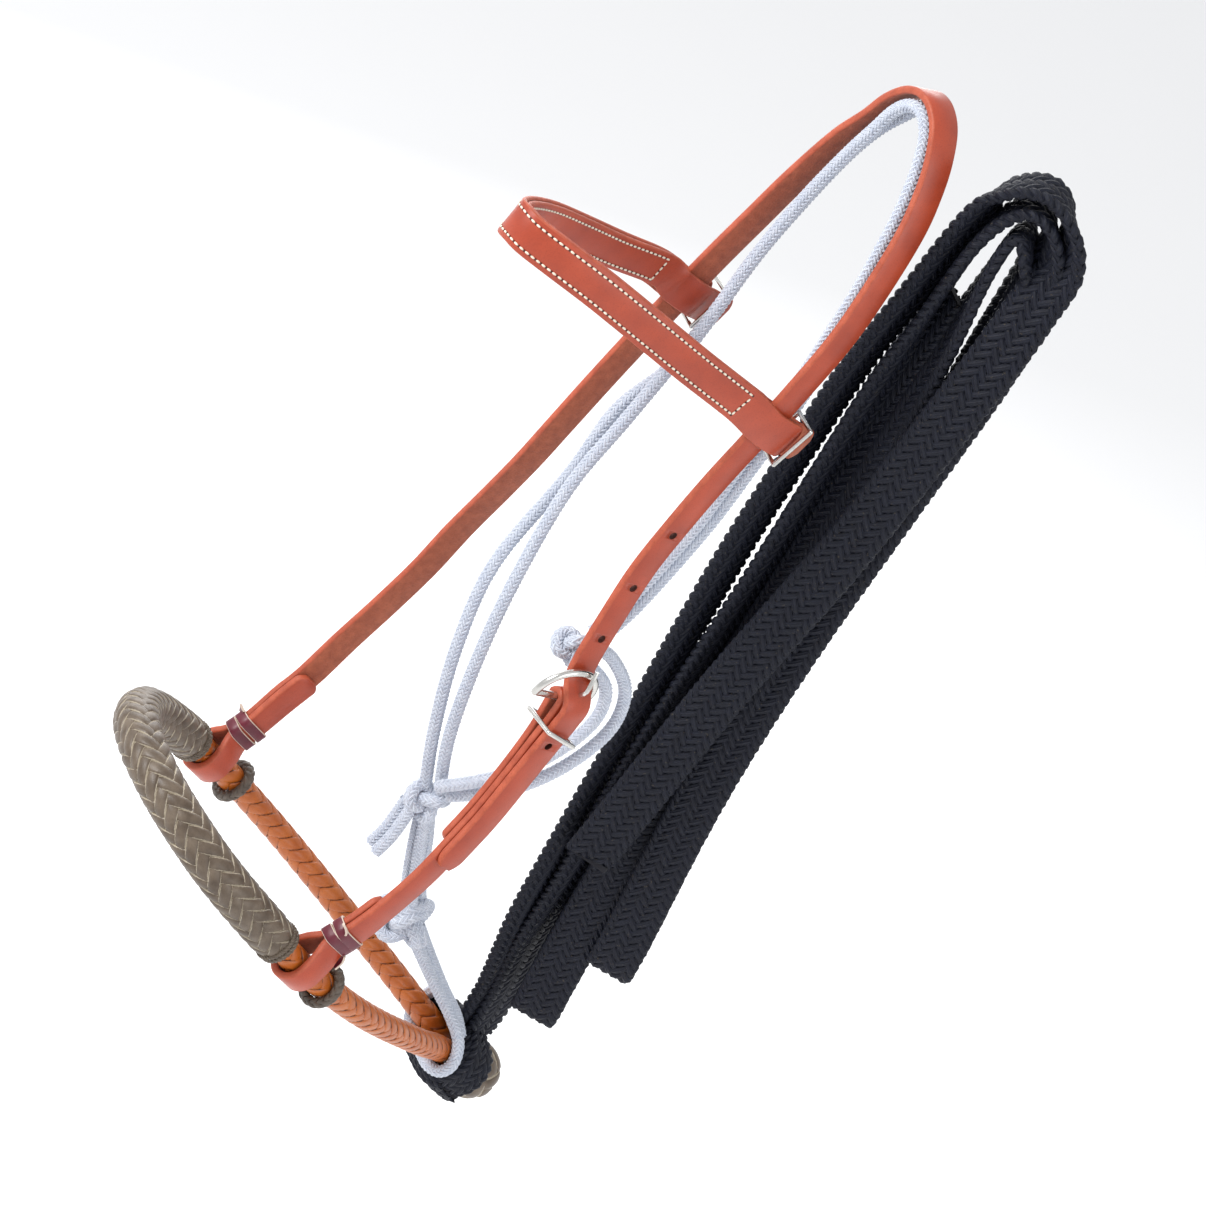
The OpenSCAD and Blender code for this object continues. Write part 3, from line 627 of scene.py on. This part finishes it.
def fiador():
    rope_cord("fiador_throat_front_rope", THROAT, "fiador_throat_front")
    rope_cord("fiador_throat_back_rope", THROAT_BACK, "fiador_throat_back")
    rope_cord("fiador_outer_bight_rope", BIGHT, "fiador_bight_outer")
    rope_cord("fiador_inner_bight_rope", BIGHT_INNER, "fiador_bight_inner")
    shifted = [[(x + side * PAIR, y, z) for x, y, z in TAIL] for side in (-1, 1)]
    piece, _ = rope_piece("fiador_tail_rope", shifted)
    finished(piece, "headstall", "white_rope", "fiador_tail")
    necks = [[(9 + side * 4, -44, -556), (9.5 + side * 4.4, -52, -534),
              (10 + side * 4, -60, -510), (11 + side * 3, -69, -482)] for side in (-1, 1)]
    necks.append([(9, -38, -552), (9, -47, -532), (10, -55, -508), (11, -66, -482)])
    piece, _ = rope_piece("fiador_neck_rope", necks)
    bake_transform(piece)
    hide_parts("fiador_neck")
    heel_sling()
    rise = np.array(UPPER_KNOT) - np.array(LOWER_KNOT)
    knot("fiador_lower_knot_rope", np.array(LOWER_KNOT) - (0, 0, 3), rise,
         ((1.6, 0), (3.0, -4), (4.4, 4), (5.6, 0)), 6, "bosal", "fiador_lower_knot", spin=0.5)
    knot("fiador_upper_knot_rope", UPPER_KNOT, rise, ((2.0, -2), (3.4, 1.5)), 4.4, "headstall",
         "fiador_upper_knot", spin=-0.2)
    knot("fiador_tie_knot_rope", TIE_KNOT, (0, 0, 1), ((3.0, -1.5),), 3.8, "headstall",
         "fiador_tie_knot", spin=0.4)


def heel_wraps():
    """The rein's turns around both shanks, as one flat band that spirals toward the heel knot."""
    t = np.linspace(0.2, 2.9 * 2 * math.pi, 150)
    reach = 12.6 + 6.4 * (t / t[-1])
    wide = 9.5
    x = reach * np.cos(t) + wide * np.tanh(2.5 * np.cos(t))
    z = reach * np.sin(t)
    v = WRAP_V - 7 + 9 * t / t[-1]
    points = on_bosal(np.stack([x, v, z], axis=1))
    parts = Parts()
    track = Track(points, np.tile(BOSAL[:, 1], (len(points), 1)))
    tube(parts, track, Outline(flat_oval(22, 2.8)), step=4, tag=1)
    braid(parts, track, Outline(flat_oval(23.5, 4.2)), 10, 44, 1.6, 1.7, profile=ROUND, lift=0.42)
    finished(parts.build("rein_heel_turns", [YARN, YARN_CORE]), "bosal", "black_rein",
             "rein_heel_wraps")


# ---------------------------------------------------------------- leather

def leather_section(w, t, bevel=0.9):
    """Section of a strap with its parts tagged: 0 grain, 1 edge, 2 flesh."""
    a, h = w / 2, t / 2
    half = [(a - bevel, -h), (a - 0.3 * bevel, -h + 0.35 * bevel), (a, -h + bevel),
            (a + 0.12, 0), (a, h - 1.2 * bevel), (a - 0.35 * bevel, h - 0.4 * bevel),
            (a - bevel, h)]
    left = [(-x, y) for x, y in reversed(half)]
    return np.array(half + left), [1] * 6 + [0] + [1] * 6 + [2]


def lay_strap(parts, track, w, t, narrow=None, step=2.0, bevel=0.9, tags=None):
    points, own = leather_section(w, t, bevel)
    own = tags or own
    s = np.linspace(0, track.length, int(track.length / step) + 2)
    if narrow:
        s = np.unique(np.concatenate([s, np.linspace(0, 9, 10), track.length - np.linspace(0, 9, 10)]))
    k = np.ones(len(s)) if narrow is None else narrow(s)
    rings = track.place(s[:, None], k[:, None] * points[None, :, 0], np.tile(points[:, 1], (len(s), 1)))
    parts.grid(rings, tags=own, wrap=True, v=s)
    parts.cap(rings[0], 1, flip=True)
    parts.cap(rings[-1], 1)


def rounded(start, end, total):
    """Width along a strap: its start and end corners taken off over these lengths."""
    def narrow(s):
        k = np.ones(len(s))
        for reach, d in ((start, s), (end, total - s)):
            if reach:
                x = np.clip(1 - d / reach, 0, 1)
                k = np.minimum(k, 1 - 0.5 * x**2.2)
        return k
    return narrow


SHANK_WAY = BOSAL[:, 1]


def strap_track(points, steps=6):
    """The side axis follows the head above, and the bosal's own direction at the loops."""
    p = smooth(points, steps)
    low = np.clip((-485 - p[:, 2:3]) / 20, 0, 1)
    turn_out = -STRAP_YAW * p[:, 0:1] * np.clip((p[:, 2:3] + LOOP_DROP) / YAW_FADE, 0, 1)
    level = np.concatenate([turn_out, np.ones_like(low), np.zeros_like(low)], axis=1)
    return Track(p, (1 - low) * level + low * SHANK_WAY)


def shifted_route(rows, outward, offsets):
    """Route points moved away from the head by their offsets."""
    p = np.array(rows, float)
    ahead = unit(np.gradient(p, axis=0))
    side = np.array([-STRAP_YAW * outward * abs(p[:, 0]), np.ones(len(p)), np.zeros(len(p))]).T
    side = unit(side - (side * ahead).sum(1, keepdims=True) * ahead)
    out = np.cross(ahead, side)
    out *= np.where(out[:, :1] * outward < 0, -1, 1)
    return p + out * np.array(offsets, float)[:, None]


def cheek_turn(loop, meet, outward):
    """The strap's way down its outer side, around the bosal and up the inner side."""
    loop, meet = np.array(loop, float), np.array(meet, float)
    up = unit(meet - loop)
    out = np.cross(SHANK_WAY, up)
    out *= np.sign(out[0]) * outward
    r = SHANK_D / 2 + 2.9
    bend = [loop + r * (math.cos(a) * out - math.sin(a) * up) for a in np.radians(range(-15, 196, 21))]
    reach = np.linalg.norm(meet - loop)
    down = [loop + up * reach * f + out * o for f, o in ((0.58, LAYER + 0.5), (0.33, 7.2))]
    rise = [loop + up * reach * f - out * o for f, o in ((0.33, 7.2), (0.58, LAYER + 0.5))]
    return [tuple(p) for p in down + bend + rise]


def cut_holes(piece, places, size):
    """Round holes through the strap, with a wall painted dark as shade in the hole."""
    for at, along in places:
        bpy.ops.mesh.primitive_cylinder_add(vertices=20, radius=size * MM / 2, depth=0.016,
                                            location=metres([at])[0])
        cutter = bpy.context.object
        cutter.rotation_euler = Vector(along).to_track_quat("Z", "Y").to_euler()
        cutter.data.materials.append(HOLE_SHADE)
        modifier = piece.modifiers.new("hole", "BOOLEAN")
        modifier.object = cutter
        modifier.solver = "EXACT"
        modifier.material_mode = "TRANSFER"
        with bpy.context.temp_override(object=piece, active_object=piece):
            bpy.ops.object.modifier_apply(modifier="hole")
        bpy.data.objects.remove(cutter)


LEATHER = [GRAIN, EDGE, FLESH]


def crown_strap():
    tab = shifted_route(FAR_LOW[:3], -1, [-LAYER] * 3)
    far = shifted_route(FAR_LOW, -1, [LAYER] * 4 + [1.2] + [0] * 7)
    near = shifted_route(NEAR_LOW, 1, [0, 0, 0, 0, 0, 0, 1.4, 9.4, 8.8, 7.6] + [BILLET] * 6)
    last = unit(near[12] - near[11])
    turn = cheek_turn(FAR_LOOP, FAR_LOW[0], -1)[::-1]
    route = [tuple(p) for p in tab[::-1]] + turn + [tuple(p) for p in far] + list(CROWN)
    route += [tuple(p) for p in near[:13]] + [tuple(near[12] + last * d) for d in (5, 10.5)]
    track = strap_track(route)
    parts = Parts()
    lay_strap(parts, track, STRAP_W, STRAP_T, rounded(5, 9, track.length))
    piece = parts.build("crown_strap_leather", LEATHER)
    cut_holes(piece, HOLES, HOLE_D)
    finished(piece, "headstall", "harness_leather", "crown_strap")


def near_cheek():
    top = NEAR_LOW[7:]
    fold = shifted_route(top[:6], 1, [-4.4, -3.6, -2.6] + [-LAYER] * 3)
    r = 4.4
    bend = on_bar([(r * math.cos(a), 4.6, r * math.sin(a)) for a in np.radians(range(165, 0, -25))])
    outer = shifted_route(top, 1, [4.4, 3.6, 2.6] + [LAYER] * 6)
    back = shifted_route(top[-2:], 1, [-LAYER] * 2)
    route = [tuple(p) for p in fold[:0:-1]] + [tuple(p) for p in bend] + [tuple(p) for p in outer[1:]]
    route += cheek_turn(NEAR_LOOP, NEAR_LOW[-1], 1) + [tuple(p) for p in back[::-1]]
    track = strap_track(route)
    parts = Parts()
    lay_strap(parts, track, STRAP_W, STRAP_T, rounded(4, 5, track.length))
    finished(parts.build("near_cheek_leather", LEATHER), "headstall", "harness_leather",
             "near_cheek_piece")


def tie_lace(name, low, high, outward, node):
    """Two flat turns of lace around the doubled strap, with two short ends."""
    low, high = np.array(low, float), np.array(high, float)
    up = unit(high - low)
    side = np.array([0.0, 1.0, 0.0])
    side = unit(side - (side @ up) * up)
    out = np.cross(up, side)
    out *= np.sign(out[0]) * outward
    middle = (low + high) / 2
    parts = Parts()
    section = [1, 1, 1, 1, 1, 1, 0, 1, 1, 1, 1, 1, 1, 0]
    for shift, lean in ((-3.3, 0.6), (3.3, -0.5)):
        a = np.linspace(0, 2 * math.pi, 49)
        x = 9.4 * np.sign(np.cos(a)) * np.abs(np.cos(a))**0.42
        y = 5.6 * np.sign(np.sin(a)) * np.abs(np.sin(a))**0.42
        points = (middle + x[:, None] * side + y[:, None] * out
                  + (shift + lean * np.sin(a))[:, None] * up)
        lay_strap(parts, Track(points, np.tile(up, (49, 1))), 6.2, 1.5, bevel=0.35, tags=section)
    ends = [[(7, 5, -5), (9.5, 5.6, -8), (11, 5.4, -13)], [(-8, 4.6, 4), (-10.5, 4.4, 6), (-12.5, 3, 6.5)]]
    for end in ends:
        points = smooth([middle + p[0] * side + p[1] * out + p[2] * up for p in end], 5)
        lay_strap(parts, Track(points, np.tile(out, (len(points), 1))), 4.6, 1.4, bevel=0.3, tags=section)
    finished(parts.build(name, [LATIGO, LATIGO_CUT]), "headstall", "latigo_lace", node)


def brow_track(points, steps=6):
    p = smooth(points, steps)
    return Track(p, np.tile([0, 0.25, 1.0], (len(p), 1)))


def brow_rows(rows):
    """Browband points moved outward from the head by a fourth value."""
    p = np.array(rows, float)
    ahead = unit(np.gradient(p[:, :3], axis=0))
    side = np.tile([0, 0.25, 1.0], (len(p), 1))
    side = unit(side - (side * ahead).sum(1, keepdims=True) * ahead)
    return p[:, :3] + np.cross(ahead, side) * p[:, 3:4]


def browband():
    face = brow_track(BROW)
    parts = Parts()
    tags = [1] * 6 + [2] + [1] * 6 + [0]
    lay_strap(parts, face, BROW_W, BROW_T, rounded(3, 3, face.length), tags=tags, bevel=0.7)
    finished(parts.build("browband_face_leather", LEATHER), "browband", "harness_leather",
             "browband_face")
    touch, back = BROW_T + 0.3, STRAP_T + BROW_T + 2.6
    near = [(58, -5, -180, touch + 2.6), (57.9, -12, -177.5, touch + 2.8),
            (57.8, -20, -174.5, touch + 3.6), (58.2, -28, -171, back), (58.4, -44, -164, back),
            (57.6, -54, -158, touch + 2.4)]
    far = [(-x, y, z, o) for x, y, z, o in reversed(near)]
    rows = near + [(*p, touch) for p in BROW[3:-3]] + far
    lining = brow_track(brow_rows(rows))
    parts = Parts()
    lay_strap(parts, lining, BROW_W - 1, BROW_T, rounded(3, 3, lining.length), bevel=0.7)
    finished(parts.build("browband_lining_leather", LEATHER), "browband", "harness_leather",
             "browband_lining")
    stitching(face, lining)


# length of each browband end without stitches, and the stitches' pitch and length
BARE_END, STITCH_PITCH, STITCH_LONG = 46, 3.3, 2.4


def stitch_rows(parts, track, start, end, out):
    """Two rows of thread along the track, closed across at both ends."""
    edge = BROW_W / 2 - 3.4
    reach = np.array([0, STITCH_LONG])
    for row in (-1, 1):
        for s in np.arange(start, end, STITCH_PITCH):
            ends = track.place(s + reach, np.full(2, row * edge), np.full(2, out))
            bead(parts, ends, track.place(s, 0, 1) - track.place(s, 0, 0))
    for s in (start - 0.6, end + 0.6):
        for a in np.arange(-edge, edge - 1, STITCH_PITCH):
            ends = track.place(np.full(2, s), a + reach, np.full(2, out))
            bead(parts, ends, track.place(s, 0, 1) - track.place(s, 0, 0))


def stitching(face, lining):
    """The same rows show on the face and on the lining."""
    parts = Parts()
    start, end, out = BARE_END, face.length - BARE_END, BROW_T / 2 + 0.12
    stitch_rows(parts, face, start, end, -out)
    inner = [lining.s[np.argmin(np.linalg.norm(lining.at - face.place(s, 0, 0), axis=1))]
             for s in (start, end)]
    stitch_rows(parts, lining, inner[0], inner[1], out)
    finished(parts.build("browband_stitches", [THREAD, HOLE_SHADE]), "browband", "stitch_thread",
             "browband_stitching")


def bead(parts, ends, normal):
    """One stitch, and the prick at its start, painted dark as shade in the hole."""
    along = (ends[1] - ends[0]) / 2
    across = np.cross(unit(along), normal)
    ellipsoid(parts, ends.mean(0), (along, across * 0.62, normal * 0.5), rings=6)
    prick = ends[0] - along * 0.38
    ellipsoid(parts, prick, (unit(along) * 0.65, across * 0.72, normal * 0.2), tag=1, rings=4, sides=6)


# ---------------------------------------------------------------- bosal

def bosal_line():
    half = smooth(BOSAL_HALF, 4)
    line = [(-x, v, 0) for x, v in half[:0:-1]] + [(x, v, 0) for x, v in half]
    return Track(on_bosal(line), np.tile(BOSAL[:, 2], (len(line), 1)))


def distances(track, v):
    """Distances along the bosal's line where it is v from the nose, far side and near side."""
    local = (track.at - BOSAL_AT) @ BOSAL
    middle = len(local) // 2
    far = np.interp(v, local[middle::-1, 1], track.s[middle::-1])
    near = np.interp(v, local[middle:, 1], track.s[middle:])
    return far, near


def nose_button(line):
    far, near = distances(line, BUTTON_V)
    parts = Parts()

    def swell(s):
        d = np.minimum(s - far, near - s)
        return 1 - 0.2 * np.clip(1 - d / 16, 0, 1)**2

    r = NOSE_D / 2
    rod = Track(line.place(np.linspace(far, near, 90), np.zeros(90), np.zeros(90)),
                np.tile(BOSAL[:, 2], (90, 1)))
    tube(parts, rod, Outline(circle(r - 1.9, 32)), scale=lambda s: swell(s + far), tag=1)
    braid(parts, line, Outline(circle(r - 1.1)), 8, 46, 1.25, 1.6, fill=0.97, lift=0.5,
          span=(far, near), scale=swell)
    for s, way in ((far, 1), (near, -1)):
        ring_knot(parts, line, s + way * 1.0, r * 0.8, 1.9)
        ring_knot(parts, line, s + way * 4.0, r * 0.86, 1.6)
    finished(parts.build("nose_button_braid", [RAWHIDE, RAWHIDE_DARK]), "bosal", "rawhide_braid",
             "nose_button")


def ring_knot(parts, line, s, radius, thick, count=4):
    """A braided ring around the bosal."""
    a = np.linspace(0, 2 * math.pi, 61)
    points = line.place(np.full(61, s), radius * np.cos(a), radius * np.sin(a))
    centre = line.place(s, 0, 0)
    ring = Track(points, points - centre)
    outline = Outline(circle(thick - 0.4, 16))
    tube(parts, ring, Outline(circle(thick - 0.7, 10)), step=2, tag=1)
    laps = round(2 * count * ring.length / outline.length / 4)
    angle = math.degrees(math.atan(laps * 4 * outline.length / (2 * count * ring.length)))
    braid(parts, ring, outline, count, min(angle, 60), 0.7, 0.8, profile=ROUND)


def shank(line, side, name, node):
    far, near = distances(line, BUTTON_V + 1)
    span = (0, far) if side < 0 else (near, line.length)
    parts = Parts()
    r = SHANK_D / 2
    s = np.linspace(*span, 90)
    rod = Track(line.place(s, np.zeros(90), np.zeros(90)), np.tile(BOSAL[:, 2], (90, 1)))
    # the core is painted dark as shade in the gaps between the strands
    tube(parts, rod, Outline(circle(r - 1.0, 24)), tag=1)
    braid(parts, line, Outline(circle(r - 0.65)), 4, 47, 0.8, 1.6, fill=0.985, lift=0.4, span=span)
    finished(parts.build(name, [SHANK, STRAND_GAP_SHADE]), "bosal", "shank_leather", node)


def side_ring(line, side, name, node):
    far, near = distances(line, RING_V)
    parts = Parts()
    ring_knot(parts, line, far if side < 0 else near, 10.5, 2.9)
    finished(parts.build(name, [RAWHIDE_DARK, RAWHIDE_DARK]), "bosal", "rawhide_braid", node)


def heel():
    """A braided barrel at the bosal's heel, closed by a round of crossed leather strips."""
    r = HEEL_D / 2
    axis = Track(on_bosal([(0, v, 0) for v in np.linspace(HEEL_V - 12.5, HEEL_V + 13, 30)]),
                 np.tile(BOSAL[:, 0], (30, 1)))

    def barrel(s):
        return np.sqrt(np.clip(1 - ((s - 12.5) / 19.5)**2, 0.05, 1))

    parts = Parts()
    tube(parts, axis, Outline(circle(r - 1.6, 32)), step=1, scale=barrel, tag=1)
    braid(parts, axis, Outline(circle(r - 1.0)), 8, 50, 1.2, 1.0, scale=barrel)
    finished(parts.build("heel_knot_braid", [RAWHIDE, RAWHIDE_DARK]), "bosal", "rawhide_braid",
             "heel_knot")
    parts = Parts()
    end = Track(on_bosal([(0, v, 0) for v in np.linspace(HEEL_V + 10, HEEL_V + 17, 16)]),
                np.tile(BOSAL[:, 0], (16, 1)))

    def dome(s):
        return np.sqrt(np.clip(1 - (s / 7.4)**2, 0.01, 1))

    tube(parts, end, Outline(circle(11.2, 32)), step=0.6, scale=dome, tag=1)
    braid(parts, end, Outline(circle(11.8)), 4, 62, 1.0, 0.6, scale=dome)
    finished(parts.build("heel_tip_leather", [SHANK, GRAIN]), "bosal", "shank_leather", "heel_tip")


# ---------------------------------------------------------------- the whole scene

def paint_cad_nodes():
    wires = ("buckle_frame", "buckle_tongue", "wire_keeper", "near_browband_dee", "far_browband_dee")
    for name in wires:
        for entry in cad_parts[name].material_slots:
            entry.material = NICKEL
    core = material("rawhide_rod", ((0.45, 0.33, 0.18), (0.6, 0.46, 0.28)), rough=0.5)
    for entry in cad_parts["bosal_core"].material_slots:
        entry.material = core


def area_light(name, at, target, size, power):
    data = bpy.data.lights.new(name, "AREA")
    data.size = size
    data.energy = power
    lamp = bpy.data.objects.new(name, data)
    bpy.context.scene.collection.objects.link(lamp)
    lamp.location = at
    lamp.rotation_euler = (Vector(target) - Vector(at)).to_track_quat("-Z", "Y").to_euler()


def studio():
    middle = Vector((0, -0.05, -0.32))
    right, up, back = view_axes()
    area_light("key", middle + 1.3 * back + 1.5 * up - 1.1 * right, middle, 0.9, 42)
    area_light("fill", middle + 1.6 * back - 0.9 * up + 1.2 * right, middle, 1.6, 14)
    area_light("rear", middle - 1.0 * back + 1.2 * up, middle, 1.4, 16)
    world = bpy.data.worlds.new("world")
    world.use_nodes = True
    world.node_tree.nodes["Background"].inputs["Color"].default_value = (0.97, 0.98, 1.0, 1)
    world.node_tree.nodes["Background"].inputs["Strength"].default_value = 0.85
    bpy.context.scene.world = world
    bpy.ops.mesh.primitive_plane_add(size=14, location=(0, 0, -1.1))
    floor = bpy.context.object
    floor.name = "floor"
    pale = material("floor_paint", ((0.93, 0.93, 0.93), (0.94, 0.94, 0.94)), mottle=2, grain=40,
                    bump=0.0, rough=0.9, pit_shade=0)
    floor.data.materials.append(pale)


def main():
    add_camera()
    bpy.context.scene.view_settings.view_transform = "Standard"
    rein("rein_short_end", STRAND_A, FRONT_RUNS, 3.0, ["rein_strand_front", "rein_hank"])
    rein("rein_long_end", STRAND_B, BACK_RUNS, 0, ["rein_strand_back"])
    fiador()
    heel_wraps()
    crown_strap()
    near_cheek()
    browband()
    tie_lace("near_lace", *NEAR_LACE, 1, "near_tie_lace")
    tie_lace("far_lace", *FAR_LACE, -1, "far_tie_lace")
    line = bosal_line()
    nose_button(line)
    shank(line, 1, "near_shank_strands", "near_shank_braid")
    shank(line, -1, "far_shank_strands", "far_shank_braid")
    side_ring(line, 1, "near_ring_knot", "near_side_ring")
    side_ring(line, -1, "far_ring_knot", "far_side_ring")
    heel()
    paint_cad_nodes()
    studio()


main()
